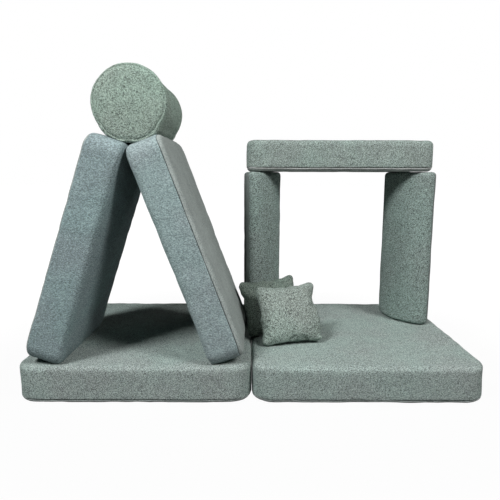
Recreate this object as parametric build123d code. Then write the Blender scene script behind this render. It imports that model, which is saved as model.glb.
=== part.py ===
from build123d import *
import math
import os

# Modular foam play sofa, set up for play: two square base mats side by side, a tent of two leaning
# cushions with a roll on top, a doorway of two half rounds under a lintel cushion, and two pillows.
# Millimetres, +Z up, +Y away from the viewer, origin on the floor under the middle of the two mats.

# Foam and covers, shared by every block
foam_thick = 138.0
cover_wall = 5.0
core_clear = 0.3
piece_clear = 0.3
seam_height = 14.0
slot_overrun = 3.0
rounding_steps = 3

# Base mats
mat_width = 840.0
mat_depth = 840.0
mat_plan_radius = 78.0
mat_edge_radius = 20.0

# Leaning cushions of the tent
tent_length = 815.0
tent_depth = 500.0
tent_plan_radius = 52.0
tent_edge_radius = 22.0
tent_crown = 6.0
tent_left_lean = 18.8
tent_right_lean = 20.4
tent_seam_inset = 130.5
tent_front_inset = 2.0

# Lintel cushion over the doorway
lintel_length = 808.0
lintel_depth = 370.0
lintel_plan_radius = 56.0
lintel_edge_radius = 24.0
lintel_crown = 5.0

# Half round posts of the doorway
post_height = 678.0
post_chord = 366.0
post_bulge = 165.0
post_corner_radius = 38.0
post_edge_radius = 18.0
post_back_inset = 4.0
post_left_overhang = 31.0
post_lintel_outset = 7.0
post_left_yaw = 2.0
post_right_yaw = 3.0
post_lining_chords = 6

# Roll on the tent
roll_radius = 130.0
roll_length = 370.0
roll_waist = 3.0
roll_end_crown = 6.0
roll_rim = 9.0
roll_front_inset = 60.0
roll_lining_sides = 16

# Pillows
pillow_side = 236.0
pillow_thick = 100.0
pillow_ear_radius = 11.0
pillow_draw_in = 7.0
pillow_band = 6.4
pillow_wall = 4.0
pillow_seam_allowance = 13.0
pillow_lean = 30.0
pillow_yaw = 10.0
pillow_front_roll = 3.0
pillow_rear_roll = 6.5
pillow_rear_x = 95.0
pillow_front_step = 44.0
pillow_gap = 4.0
pillow_slouch = 20.0
pillow_settle_rounds = 10

# Hidden zips: two tapes and a coil in a slot of the cover, with a slider that has no pull tab
zip_width = 16.0
tape_thick = 1.0
coil_width = 5.0
coil_crest_width = 3.0
coil_height = 1.5
stop_length = 4.0
stop_width = 8.0
slider_length = 13.0
slider_nose_width = 8.0
slider_plate = 1.3
slider_flange = 1.2
slider_bridge_length = 6.0
slider_bridge_width = 2.6
slider_bridge_height = 0.6
mat_zip_length = 640.0
tent_zip_length = 600.0
lintel_zip_length = 600.0
post_zip_length = 480.0
roll_zip_length = 250.0
pillow_zip_length = 150.0
pillow_tape_depth = 6.5

# Crown of the roll's ends: place as a share of the radius, rise as a share of the crown. The side of
# the roll is straight over this share of its length, between the two drawn-in stretches
roll_crown_shares = (0.52, 0.74)
roll_straight_share = 0.76

# Section of a pillow from its edge to its middle: places as shares of the half side, heights as
# shares of the rise. Two points shape the shoulder, and one more shapes the flat of the lining.
pillow_shoulder_shares = (0.88, 0.50)
pillow_crown_shares = (0.62, 0.85)
pillow_lining_top_share = 0.2

os.makedirs("parts", exist_ok=True)


def box_between(low, high):
    """A box from its lowest to its highest corner."""
    size = [b - a for a, b in zip(low, high)]
    middle = [(a + b) / 2 for a, b in zip(low, high)]
    return Pos(*middle) * Box(*size)


def shrunk_radius(radius, inset):
    """Radius of an outline's corner after the outline shrinks by an inset: it never reaches zero."""
    return radius * radius / (radius + inset)


def rounding(edge_radius, steps):
    """Heights and insets of a rounded edge, from the flat face to the upright wall."""
    angles = [math.pi / 2 * k / steps for k in range(steps + 1)]
    return [(edge_radius * (1 - math.cos(a)), edge_radius * (1 - math.sin(a))) for a in angles]


# Block cushions: mats, leaning cushions and lintel. Length along X, depth along Y, base at Z zero.
def vault(length, depth, rise):
    """Shallow crown over a rectangle: two arched sections that cross."""
    sections = []
    for span, other, frame in ((length, depth, Plane.XZ), (depth, length, Plane.YZ)):
        arch = ThreePointArc((span / 2, 0), (0, rise), (-span / 2, 0))
        face = frame * make_face([Line((-span / 2, 0), (span / 2, 0)), arch])
        sections.append(extrude(face, amount=other / 2, both=True))
    return sections[0] & sections[1]


def block_form(length, depth, thick, plan_radius, edge_radius, crown):
    """Foam block with rounded corners and edges and a crowned top face."""
    edge = rounding(edge_radius, rounding_steps)
    shoulder = thick - crown
    outlines = []
    for height, inset in edge + [(shoulder - height, inset) for height, inset in reversed(edge)]:
        outline = RectangleRounded(
            length - 2 * inset, depth - 2 * inset, shrunk_radius(plan_radius, inset)
        )
        outlines.append(Pos(0, 0, height) * outline)
    block = loft(outlines, ruled=True)
    if crown > 0:
        span = length - 2 * plan_radius
        block += Pos(0, 0, shoulder) * vault(span, depth - 2 * plan_radius, crown)
    return block


def cut_prism(outline, low, high, cut):
    """Foam cut to an outline between two heights, with its end edges cut off at 45 degrees."""
    prism = Pos(0, 0, low) * extrude(outline, amount=high - low)
    ends = prism.faces().sort_by(Axis.Z)
    return chamfer(ends[0].edges() + ends[-1].edges(), cut)


def block_inside(length, depth, thick, plan_radius, edge_radius, crown, gap):
    """Foam block with cut corners, a gap inside the cover's outside on every side."""
    outline = chamfer(Rectangle(length - 2 * gap, depth - 2 * gap).vertices(), plan_radius - gap)
    return cut_prism(outline, gap, thick - crown - gap, edge_radius - gap)


# Zips, in a frame whose X runs along the zip and whose Z points out of the cover's surface at zero
def zip_slot(length):
    """The slot through the cover wall that the zip closes."""
    return box_between(
        (-length / 2, -zip_width / 2, -cover_wall - slot_overrun),
        (length / 2, zip_width / 2, cover_wall),
    )


def zip_strip(length):
    """Both tapes and the closed coil, with a stop at each end, on the inside of the slot."""
    floor = -cover_wall
    tape_top = floor + tape_thick
    coil_top = tape_top + coil_height
    tape = box_between((-length / 2, -zip_width / 2, floor), (length / 2, zip_width / 2, tape_top))
    ridge = Plane.YZ * Polygon(
        (-coil_width / 2, tape_top),
        (coil_width / 2, tape_top),
        (coil_crest_width / 2, coil_top),
        (-coil_crest_width / 2, coil_top),
        align=None,
    )
    coil = extrude(ridge, amount=length / 2, both=True)
    stops = [
        box_between(
            (side * length / 2 - (stop_length if side > 0 else 0), -stop_width / 2, tape_top),
            (side * length / 2 + (stop_length if side < 0 else 0), stop_width / 2, coil_top),
        )
        for side in (-1, 1)
    ]
    return tape + coil + stops


def zip_slider():
    """A slider with a shield-shaped plate, two side flanges round the coil and a low bridge."""
    tape_top = tape_thick - cover_wall
    throat_half = coil_width / 2 + piece_clear
    wide_half = throat_half + slider_flange
    under = tape_top + coil_height + piece_clear
    plate_outline = Polygon(
        (-slider_length / 2, -slider_nose_width / 2),
        (0, -wide_half),
        (slider_length / 2, -wide_half),
        (slider_length / 2, wide_half),
        (0, wide_half),
        (-slider_length / 2, slider_nose_width / 2),
        align=None,
    )
    plate = Pos(0, 0, under) * extrude(plate_outline, amount=slider_plate)
    flanges = [
        box_between(
            (0, min(side * throat_half, side * wide_half), tape_top + piece_clear),
            (slider_length / 2, max(side * throat_half, side * wide_half), under),
        )
        for side in (-1, 1)
    ]
    bridge = box_between(
        (-slider_bridge_length / 2, -slider_bridge_width / 2, under + slider_plate),
        (slider_bridge_length / 2, slider_bridge_width / 2, under + slider_plate + slider_bridge_height),
    )
    return plate + flanges + bridge


def slider_rest(length):
    """Place of a flush zip's slider along its zip when the zip is closed."""
    return length / 2 - stop_length - slider_length / 2 - piece_clear


def flush_zip(place, length):
    """The zip strip and its slider, laid on a cover's surface."""
    strip = place * zip_strip(length)
    slider = place * Pos(slider_rest(length), 0, 0) * zip_slider()
    return strip, slider


def dressed(outer, lining, core, base_region, place, length):
    """Cover, smooth base panel, foam core, zip and slider of one module. The base panel is the part
    of the cover inside base_region, and meets the looped cover at the seam, face to face."""
    shell = outer - lining
    slot = place * zip_slot(length)
    strip, slider = flush_zip(place, length)
    return {
        "core": core,
        "cover": (shell - base_region) - slot,
        "base": (shell & base_region) - slot,
        "zip": strip,
        "slider": slider,
    }


def block_module(length, depth, plan_radius, edge_radius, crown, zip_length):
    """A block cushion with a smooth base and a zip along the middle of its back."""
    sizes = (length, depth, foam_thick, plan_radius, edge_radius, crown)
    outer = block_form(*sizes)
    lining = block_inside(*sizes, cover_wall)
    core = block_inside(*sizes, cover_wall + core_clear)
    base_region = box_between((-length, -depth, -seam_height), (length, depth, seam_height))
    back = Plane(origin=(0, depth / 2, foam_thick / 2), x_dir=(1, 0, 0), z_dir=(0, 1, 0))
    return dressed(outer, lining, core, base_region, back.location, zip_length)


# Half round posts: flat face at X zero, bulge towards -X, chord along Y, standing on Z zero
def post_arcs(inset):
    """Centre, radius and end angles of the outline's three arcs, drawn in by an inset."""
    corner = post_corner_radius
    half = post_chord / 2
    bow = ((post_bulge - corner) ** 2 + (half - corner) ** 2 - corner**2) / (
        2 * (post_bulge - 2 * corner)
    )
    turn = math.pi - math.asin((half - corner) / (bow - corner))
    return [
        ((-corner, half - corner), corner - inset, 0, turn),
        ((bow - post_bulge, 0), bow - inset, turn, 2 * math.pi - turn),
        ((-corner, corner - half), corner - inset, 2 * math.pi - turn, 2 * math.pi),
    ]


def arc_points(arc, count):
    """Points along an arc at equal turns, both ends included."""
    (x, y), radius, start, finish = arc
    angles = [start + (finish - start) * k / count for k in range(count + 1)]
    return [(x + radius * math.cos(a), y + radius * math.sin(a)) for a in angles]


def post_outline(inset):
    """Outline of the half round: a flat, two corner arcs and one long arc."""
    arcs = [arc_points(arc, 2) for arc in post_arcs(inset)]
    flat = Line(arcs[-1][-1], arcs[0][0])
    return make_face([ThreePointArc(*points) for points in arcs] + [flat])


def post_form():
    """The half round as a solid with rounded end edges."""
    edge = rounding(post_edge_radius, rounding_steps)
    levels = edge + [(post_height - height, inset) for height, inset in reversed(edge)]
    return loft([Pos(0, 0, height) * post_outline(inset) for height, inset in levels], ruled=True)


def post_inside(gap):
    """Foam half round cut to chords of the cover's outline, a gap inside it."""
    first, bow, last = post_arcs(gap)
    points = arc_points(first, 1) + arc_points(bow, post_lining_chords)[1:-1] + arc_points(last, 1)
    return cut_prism(Polygon(*points, align=None), gap, post_height - gap, post_edge_radius - gap)


def post_module():
    """A half round post with a smooth flat face and its zip up the middle of that face."""
    base_region = box_between(
        (-seam_height, -post_chord, -post_height), (seam_height, post_chord, 2 * post_height)
    )
    flat = Plane(origin=(0, 0, post_height / 2), x_dir=(0, 0, 1), z_dir=(1, 0, 0))
    return dressed(
        post_form(),
        post_inside(cover_wall),
        post_inside(cover_wall + core_clear),
        base_region,
        flat.location,
        post_zip_length,
    )


# Roll: axis along Z through the origin, its middle at Z zero
def roll_form():
    """Roll with crowned ends, a seam ridge round each rim and a slightly drawn-in side."""
    half = roll_length / 2
    edge = half - roll_end_crown
    place, rise = roll_crown_shares
    upper = [
        (0, half),
        (roll_radius * place, edge + roll_end_crown * rise),
        (roll_radius - roll_rim, edge),
        (roll_radius, edge - roll_rim / 2),
        (roll_radius - roll_waist / 2, edge - roll_rim),
        (roll_radius - roll_waist, half * roll_straight_share),
    ]
    profile = upper + [(radius, -height) for radius, height in reversed(upper)]
    turned = revolve(Plane.XZ * Polygon(*profile, align=None), Axis.Z)
    return Rot(0, 0, 90) * turned


def roll_inside(gap):
    """Foam inside the roll: a many-sided prism, a gap inside the side and the ends."""
    outline = RegularPolygon(roll_radius - roll_waist - gap, roll_lining_sides)
    top = roll_length / 2 - roll_end_crown - gap
    return cut_prism(outline, -top, top, roll_rim - gap / 2)


def roll_module():
    """A roll with a looped cover and a zip along its side."""
    side = Plane(origin=(roll_radius - roll_waist, 0, 0), x_dir=(0, 0, 1), z_dir=(1, 0, 0))
    strip, slider = flush_zip(side.location, roll_zip_length)
    shell = roll_form() - roll_inside(cover_wall)
    return {
        "core": roll_inside(cover_wall + core_clear),
        "cover": shell - side.location * zip_slot(roll_zip_length),
        "zip": strip,
        "slider": slider,
    }


# Pillows: width along X, height along Y, thickness along Z, seam in the plane Z zero
def pillow_outline(half, corner, draw_in):
    """Square outline whose four sides draw in between rounded corners."""
    centre = half - corner
    swing = 2 * math.atan(2 * draw_in / (2 * centre))
    start = (centre + corner * math.cos(swing), centre - corner * math.sin(swing))
    tip = (centre + corner * math.sqrt(0.5), centre + corner * math.sqrt(0.5))
    finish = (start[1], start[0])
    side_middle = (0, half - draw_in)
    lines = []
    for quarter in range(4):
        turn = lambda p, k=quarter: Vector(*p, 0).rotate(Axis.Z, 90 * k)
        lines.append(ThreePointArc(turn(start), turn(tip), turn(finish)))
        next_start = Vector(*start, 0).rotate(Axis.Z, 90 * (quarter + 1))
        lines.append(ThreePointArc(turn(finish), turn(side_middle), next_start))
    return make_face(lines)


def crossed(section_lines, half):
    """Solid where one section, swept along X, and the same section, swept along Y, cross."""
    section = make_face(section_lines)
    along_y = extrude(Plane.XZ * section, amount=half, both=True)
    along_x = extrude(Plane.YZ * section, amount=half, both=True)
    return along_x & along_y


def pillow_form():
    """Pillow with a high crown, and a flat seam edge that runs out to an ear at each corner."""
    half = pillow_side / 2 - pillow_draw_in
    low = pillow_band / 2
    rise = pillow_thick / 2 - low
    shoulder = (half * pillow_shoulder_shares[0], low + rise * pillow_shoulder_shares[1])
    bend = (half * pillow_crown_shares[0], low + rise * pillow_crown_shares[1])
    lines = []
    for up in (1, -1):
        right = [(half, up * low), (shoulder[0], up * shoulder[1]), (bend[0], up * bend[1])]
        left = [(-x, y) for x, y in reversed(right)]
        lines.append(ThreePointArc(*right))
        lines.append(ThreePointArc(right[-1], (0, up * pillow_thick / 2), left[0]))
        lines.append(ThreePointArc(*left))
    lines += [Line((side * half, -low), (side * half, low)) for side in (-1, 1)]
    seam = extrude(pillow_outline(pillow_side / 2, pillow_ear_radius, pillow_draw_in), amount=low, both=True)
    return crossed(lines, half) + seam


def pillow_inside(gap):
    """Space inside the pillow's cover: drawn in by a seam allowance at the edge and by the wall."""
    half = pillow_side / 2 - pillow_draw_in - pillow_seam_allowance - gap
    low = pillow_band / 2 - gap
    rise = pillow_thick / 2 - pillow_wall - gap - low
    upper = [(half, low)]
    for place, height in (pillow_shoulder_shares, pillow_crown_shares, (pillow_lining_top_share, 1)):
        upper.append((half * place, low + rise * height))
    upper += [(-x, y) for x, y in reversed(upper)]
    points = upper + [(x, -y) for x, y in reversed(upper)]
    return crossed(Polyline(*points, close=True), half)


def pillow_zip_edge():
    """Height of the pillow zip's coil edge above the pillow's lowest corner line, from the middle."""
    return -pillow_side / 2 + pillow_draw_in


def pillow_zip():
    """Zip in the bottom seam: tapes in the seam plane with the coil along their lower edge."""
    edge = pillow_zip_edge()
    half = pillow_zip_length / 2
    tape = box_between(
        (-half, edge + coil_height, -tape_thick / 2), (half, edge + pillow_tape_depth, tape_thick / 2)
    )
    coil = box_between(
        (-half, edge, -coil_crest_width / 2), (half, edge + coil_height, coil_crest_width / 2)
    )
    return tape + coil


def pillow_slot():
    """Slot in the bottom seam for the tapes, the coil and the slider."""
    half = pillow_zip_length / 2
    edge = pillow_zip_edge()
    return box_between(
        (-half, -pillow_side, -pillow_band / 2 + core_clear),
        (half, edge + pillow_tape_depth + core_clear, pillow_band / 2 - core_clear),
    )


def pillow_slider():
    """Slider of the pillow zip: a short channel round the coil, open towards the tapes."""
    edge = pillow_zip_edge()
    half_length = slider_length / 2
    throat = coil_crest_width / 2 + piece_clear
    outer_half = pillow_band / 2 - core_clear - piece_clear
    rise = edge + coil_height + piece_clear
    body = box_between(
        (-half_length, edge - piece_clear - slider_plate, -outer_half), (half_length, rise, outer_half)
    )
    channel = box_between((-slider_length, edge - piece_clear, -throat), (slider_length, pillow_side, throat))
    return body - channel


def pillow_slider_rest():
    """Place of the pillow zip's slider along the seam when the zip is closed."""
    return pillow_zip_length / 2 - slider_length / 2 - piece_clear


def pillow_module():
    """A pillow with a looped cover, a loose fill and a zip in its bottom seam."""
    return {
        "fill": pillow_inside(core_clear),
        "cover": pillow_form() - pillow_inside(0) - pillow_slot(),
        "zip": pillow_zip(),
        "slider": Pos(pillow_slider_rest(), 0, 0) * pillow_slider(),
    }


# Places of the modules
mat_front = -mat_depth / 2
mat_top = foam_thick


def mat_place(side):
    """The mats meet at X zero with a small clearance."""
    return Pos(side * (mat_width / 2 + piece_clear / 2), 0, 0)


def tent_up(side, lean):
    """Direction up the slope of a leaning cushion: side is 1 where its top leans to +X."""
    angle = math.radians(lean)
    return Vector(side * math.sin(angle), 0, math.cos(angle))


def tent_place(side, lean, foot_x):
    """A leaning cushion whose lowest edge line is at foot_x. Its base faces out of the tent, and its
    length runs along the slope."""
    up = tent_up(side, lean)
    inward = up.rotate(Axis.Y, 90 * side)
    reach = tent_length / 2 - tent_edge_radius
    inner = foam_thick - tent_crown - tent_edge_radius
    corner = Vector(
        foot_x, mat_front + tent_front_inset + tent_depth / 2, mat_top + piece_clear + tent_edge_radius
    )
    return Plane(origin=corner + up * reach - inward * inner, x_dir=up * -side, z_dir=inward)


left_sine = math.sin(math.radians(tent_left_lean))
right_sine = math.sin(math.radians(tent_right_lean))
tent_slant = tent_length - 2 * tent_edge_radius
tent_spread = tent_slant * (left_sine + right_sine) + 2 * tent_edge_radius + piece_clear
tent_right_foot = -tent_seam_inset
tent_left_foot = tent_right_foot - tent_spread
tent_left_plane = tent_place(1, tent_left_lean, tent_left_foot)
tent_right_plane = tent_place(-1, tent_right_lean, tent_right_foot)


def roll_centre():
    """Middle of the roll, resting in the notch between the two cushions' upper end faces."""
    reach = tent_length / 2 + roll_radius + piece_clear
    a = tent_up(1, tent_left_lean)
    b = tent_up(-1, tent_right_lean)
    first = a.dot(tent_left_plane.origin) + reach
    second = b.dot(tent_right_plane.origin) + reach
    bottom = a.X * b.Z - a.Z * b.X
    middle_y = mat_front + tent_front_inset + roll_front_inset + roll_length / 2
    return ((first * b.Z - second * a.Z) / bottom, middle_y, (second * a.X - first * b.X) / bottom)


roll_plane = Plane(origin=roll_centre(), x_dir=(0, 0, -1), z_dir=(0, 1, 0))

post_middle_y = mat_depth / 2 - post_back_inset - post_chord / 2
post_left_x = -post_left_overhang
post_right_x = post_left_x + lintel_length + 2 * post_lintel_outset
post_left_place = Pos(post_left_x, post_middle_y, mat_top + piece_clear) * Rot(0, 0, 180 + post_left_yaw)
post_right_place = Pos(post_right_x, post_middle_y, mat_top + piece_clear) * Rot(0, 0, post_right_yaw)
lintel_x = (post_left_x + post_right_x) / 2
lintel_z = mat_top + piece_clear + post_height + piece_clear

pillow_tilt = math.radians(pillow_lean)
pillow_turn = math.radians(pillow_yaw)
pillow_along = Vector(math.cos(pillow_turn), math.sin(pillow_turn), 0)
pillow_back = Vector(-math.sin(pillow_turn), math.cos(pillow_turn), 0)
post_front = post_middle_y - post_chord / 2
pillow_rear_y = post_front - pillow_side * math.sin(pillow_tilt) - pillow_slouch
pillow_spread = (pillow_thick + pillow_gap) / math.cos(pillow_tilt)


def pillow_place(x, y, roll):
    """A pillow leaning back with the middle of its bottom edge over x, y. It is rolled a little in its
    own plane, and then lowered until its left corner rests on the mats, or in the dip between them."""
    rise = Vector(0, 0, 1) * math.cos(pillow_tilt) + pillow_back * math.sin(pillow_tilt)
    origin = Vector(x, y, 0) + rise * (pillow_side / 2)
    leant = Plane(origin=origin, x_dir=pillow_along, z_dir=pillow_along.cross(rise)).location
    place = leant * Rot(0, 0, roll)
    lowest = (place * pillow["cover"]).bounding_box().min.Z
    place = Pos(0, 0, mat_top + piece_clear - lowest) * place
    for _ in range(pillow_settle_rounds):
        cover = place * pillow["cover"]
        room = min(cover.distance_to(mat_place(side) * mat["cover"]) for side in (-1, 1))
        place = Pos(0, 0, piece_clear - room) * place
    return place


mat = block_module(mat_width, mat_depth, mat_plan_radius, mat_edge_radius, 0, mat_zip_length)
tent = block_module(
    tent_length, tent_depth, tent_plan_radius, tent_edge_radius, tent_crown, tent_zip_length
)
lintel = block_module(
    lintel_length, lintel_depth, lintel_plan_radius, lintel_edge_radius, lintel_crown, lintel_zip_length
)
post = post_module()
roll = roll_module()
pillow = pillow_module()

pillow_front_at = (
    Vector(pillow_rear_x, pillow_rear_y, 0) - pillow_back * pillow_spread + pillow_along * pillow_front_step
)
pillow_rear_place = pillow_place(pillow_rear_x, pillow_rear_y, pillow_rear_roll)
pillow_front_place = pillow_place(pillow_front_at.X, pillow_front_at.Y, pillow_front_roll)

modules = {
    "base_mat_left": (mat, mat_place(-1)),
    "base_mat_right": (mat, mat_place(1)),
    "tent_cushion_left": (tent, tent_left_plane.location),
    "tent_cushion_right": (tent, tent_right_plane.location),
    "lintel_cushion": (lintel, Pos(lintel_x, post_middle_y, lintel_z)),
    "half_round_left": (post, post_left_place),
    "half_round_right": (post, post_right_place),
    "roll": (roll, roll_plane.location),
    "pillow_front": (pillow, pillow_front_place),
    "pillow_rear": (pillow, pillow_rear_place),
}

for name, (pieces, place) in modules.items():
    for piece, shape in pieces.items():
        export_step(place * shape, f"parts/{name}_{piece}.step")


# Centre of each slider at rest, for its joint
for name, (pieces, place) in modules.items():
    centre = (place * pieces["slider"]).bounding_box().center()
    print(name, "slider", [round(value, 3) for value in centre])
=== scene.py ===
import math

import bmesh
import bpy
import numpy as np
from mathutils import Matrix, Vector


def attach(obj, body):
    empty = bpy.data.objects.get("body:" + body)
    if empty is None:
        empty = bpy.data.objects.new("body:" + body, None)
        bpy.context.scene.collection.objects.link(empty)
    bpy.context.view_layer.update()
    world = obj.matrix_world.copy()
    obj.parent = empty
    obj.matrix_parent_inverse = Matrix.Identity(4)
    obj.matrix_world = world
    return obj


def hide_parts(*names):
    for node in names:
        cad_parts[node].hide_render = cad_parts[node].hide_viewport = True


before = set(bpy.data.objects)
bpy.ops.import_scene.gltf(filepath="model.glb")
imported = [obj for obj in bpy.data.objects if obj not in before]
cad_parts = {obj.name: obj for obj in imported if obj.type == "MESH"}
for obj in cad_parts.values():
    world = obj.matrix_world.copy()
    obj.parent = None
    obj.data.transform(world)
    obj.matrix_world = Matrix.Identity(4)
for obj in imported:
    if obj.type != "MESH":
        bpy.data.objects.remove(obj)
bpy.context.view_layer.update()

# Sizes of the frame's modules, in metres
FOAM = 0.138  # thickness of a block
FOAM_TOP = 0.1384  # height of the mats' tops
SEAM = 0.014  # distance of a block's seam from its base
POST_SEAM = 0.0065  # distance of a half round's seam from its flat face
ZIP_HALF_WIDTH = 0.008
POCKET = 0.0062  # depth of a zip slot

MAT = {
    "size": (0.84, 0.84), "plan": 0.078, "edge": 0.020, "crown": 0.0, "bow": 0.0, "zip": 0.64,
}
TENT = {
    "size": (0.815, 0.50), "plan": 0.052, "edge": 0.022, "crown": 0.006, "bow": 0.0035,
    "zip": 0.60,
}
LINTEL = {
    "size": (0.808, 0.37), "plan": 0.056, "edge": 0.024, "crown": 0.005, "bow": 0.002,
    "zip": 0.60,
}
POST = {
    "height": 0.678, "chord": 0.366, "bulge": 0.165, "corner": 0.038, "edge": 0.018, "zip": 0.48,
}
ROLL = {"radius": 0.130, "length": 0.370, "waist": 0.003, "crown": 0.006, "zip": 0.25}
PILLOW = {
    "side": 0.236, "thick": 0.100, "band": 0.0064, "zip": 0.15, "middle": 0.1112,
    "ears": (0.1225, 0.1225, 0.1185), "pocket": -0.1036,
}


def turned(x, y, z, degrees_z):
    """A place on the frame, turned about the upright."""
    return Matrix.Translation((x, y, z)) @ Matrix.Rotation(math.radians(degrees_z), 4, "Z")


def from_axes(origin, x_axis, z_axis):
    """A place whose local X and Z lie along two given directions."""
    z = Vector(z_axis).normalized()
    x = Vector(x_axis).normalized()
    y = z.cross(x)
    place = Matrix((x, y, z)).transposed().to_4x4()
    place.translation = Vector(origin)
    return place


def lean(side, degrees):
    """Directions of a leaning cushion: its local X down or up the slope, and its face."""
    a = math.radians(degrees)
    up = Vector((side * math.sin(a), 0, math.cos(a)))
    return up * -side, Vector((side * math.cos(a), 0, -math.sin(a)))


PILLOW_LEAN, PILLOW_YAW = math.radians(30), math.radians(10)
pillow_x = Vector((math.cos(PILLOW_YAW), math.sin(PILLOW_YAW), 0))
pillow_back = Vector((-math.sin(PILLOW_YAW), math.cos(PILLOW_YAW), 0))
pillow_up = Vector((0, 0, 1)) * math.cos(PILLOW_LEAN) + pillow_back * math.sin(PILLOW_LEAN)
pillow_face = pillow_x.cross(pillow_up)


def rolled(degrees):
    """Directions of a pillow rolled in its own plane: its local X, and its face."""
    a = math.radians(degrees)
    return pillow_x * math.cos(a) + pillow_up * math.sin(a), pillow_face


PLACES = {
    "base_mat_left": turned(-0.42015, 0, 0, 0),
    "base_mat_right": turned(0.42015, 0, 0, 0),
    "tent_cushion_left": from_axes((-0.671914, -0.168, 0.560683), *lean(1, 18.8)),
    "tent_cushion_right": from_axes((-0.161774, -0.168, 0.559965), *lean(-1, 20.4)),
    "lintel_cushion": turned(0.380, 0.233, 0.8166, 0),
    "half_round_left": turned(-0.031, 0.233, 0.1383, 182.0),
    "half_round_right": turned(0.791, 0.233, 0.1383, 3.0),
    "roll": from_axes((-0.412539, -0.173, 1.040493), (0, 0, -1), (0, 1, 0)),
    "pillow_front": from_axes((0.148940, -0.140520, 0.246814), *rolled(3.0)),
    "pillow_rear": from_axes((0.084755, -0.029896, 0.248531), *rolled(6.5)),
}


# Shapes as signed distances, negative inside
def extruded(plan, rise, edge):
    """Distance to a plan extruded to a height, with its end edges rounded."""
    a, b = plan + edge, rise + edge
    outside = np.hypot(np.maximum(a, 0), np.maximum(b, 0))
    return outside - edge + np.minimum(np.maximum(a, b), 0)


def block_distance(spec):
    """Distance to a block cushion: base at Z zero, crowned top, ends drawn in at their corners."""
    half_x, half_y = (s / 2 for s in spec["size"])
    plan_radius, edge, crown, bow = spec["plan"], spec["edge"], spec["crown"], spec["bow"]

    def distance(p):
        drawn_in = bow * np.clip(np.abs(p[:, 1]) / half_y, 0, 1) ** 2.5
        qx = np.abs(p[:, 0]) - half_x + plan_radius + drawn_in
        qy = np.abs(p[:, 1]) - half_y + plan_radius
        corner = np.hypot(np.maximum(qx, 0), np.maximum(qy, 0))
        plan = corner + np.minimum(np.maximum(qx, qy), 0) - plan_radius
        u = np.clip(p[:, 0] / (half_x - edge), -1, 1)
        v = np.clip(p[:, 1] / (half_y - edge), -1, 1)
        top = FOAM - crown + crown * (1 - u**2) * (1 - v**2)
        return extruded(plan, np.abs(p[:, 2] - top / 2) - top / 2, edge)

    return distance


def post_distance(p):
    """Distance to a half round: flat face at X zero, bulge towards -X, standing on Z zero."""
    corner, half, bulge = POST["corner"], POST["chord"] / 2, POST["bulge"]
    reach = half - corner
    bow = ((bulge - corner) ** 2 + reach**2 - corner**2) / (2 * (bulge - 2 * corner))
    centre = bow - bulge
    flat = p[:, 0] + corner
    away = np.hypot(p[:, 0] - centre, p[:, 1])
    round_side = away - (bow - corner)
    foot_x = centre + (p[:, 0] - centre) / np.maximum(away, 1e-9) * (bow - corner)
    to_corner = np.hypot(p[:, 0] + corner, np.abs(p[:, 1]) - reach)
    inside = (flat <= 0) & (round_side <= 0)
    on_flat = (flat > 0) & (np.abs(p[:, 1]) <= reach)
    on_bow = (round_side > 0) & (foot_x <= -corner)
    plan = np.where(on_flat, flat, np.where(on_bow, round_side, to_corner))
    plan = np.where(inside, np.maximum(flat, round_side), plan) - corner
    height = POST["height"]
    return extruded(plan, np.abs(p[:, 2] - height / 2) - height / 2, POST["edge"])


def gradient(distance, p, step=0.0002):
    """Unit direction in which a distance grows."""
    columns = []
    for axis in range(3):
        shift = np.zeros(3)
        shift[axis] = step
        columns.append(distance(p + shift) - distance(p - shift))
    g = np.stack(columns, 1)
    return g / np.maximum(np.linalg.norm(g, axis=1, keepdims=True), 1e-12)


def settle(distance, p, rounds=6):
    """Moves points onto the surface of a shape, and gives the surface's normals there."""
    for _ in range(rounds):
        p = p - gradient(distance, p) * distance(p)[:, None]
    return p, gradient(distance, p)


def waves(p, length, seed, count=14):
    """Smooth noise of about one unit from seeded plane waves of about one wavelength."""
    rng = np.random.default_rng(seed)
    ways = rng.normal(size=(count, 3))
    ways /= np.linalg.norm(ways, axis=1, keepdims=True)
    rates = 2 * math.pi / length * rng.uniform(0.7, 1.4, count)
    phases = rng.uniform(0, 2 * math.pi, count)
    return np.sin(p @ (ways * rates[:, None]).T + phases).sum(1) / math.sqrt(count / 2)


# Grids over a box's surface, with lines at seams, slots and rounded edges
EDGE_SHARES = (0.14, 0.32, 0.55, 0.80)


def grid_lines(low, high, pitch, marks=()):
    """Evenly spaced values with extra ones at the marks."""
    stops = sorted({low, high, *marks})
    values = []
    for a, b in zip(stops, stops[1:]):
        count = max(1, round((b - a) / pitch))
        values += [a + (b - a) * k / count for k in range(count)]
    return values + [high]


def edge_lines(low, high, reach):
    """Extra grid values close to both ends, where a form's edges are rounded."""
    steps = [reach * share for share in EDGE_SHARES]
    return [low + step for step in steps] + [high - step for step in steps]


def box_grid(xs, ys, zs):
    """Points and outward quads of a box's surface on a grid."""
    nx, ny, nz = len(xs) - 1, len(ys) - 1, len(zs) - 1
    number, points, quads = {}, [], []

    def at(i, j, k):
        if (i, j, k) not in number:
            number[i, j, k] = len(points)
            points.append((xs[i], ys[j], zs[k]))
        return number[i, j, k]

    for i in range(nx):
        for j in range(ny):
            for k, flip in ((0, True), (nz, False)):
                quad = [at(i, j, k), at(i + 1, j, k), at(i + 1, j + 1, k), at(i, j + 1, k)]
                quads.append(quad[::-1] if flip else quad)
    for i in range(nx):
        for k in range(nz):
            for j, flip in ((0, False), (ny, True)):
                quad = [at(i, j, k), at(i + 1, j, k), at(i + 1, j, k + 1), at(i, j, k + 1)]
                quads.append(quad[::-1] if flip else quad)
    for j in range(ny):
        for k in range(nz):
            for i, flip in ((0, True), (nx, False)):
                quad = [at(i, j, k), at(i, j + 1, k), at(i, j + 1, k + 1), at(i, j, k + 1)]
                quads.append(quad[::-1] if flip else quad)
    return np.array(points), quads


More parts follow.
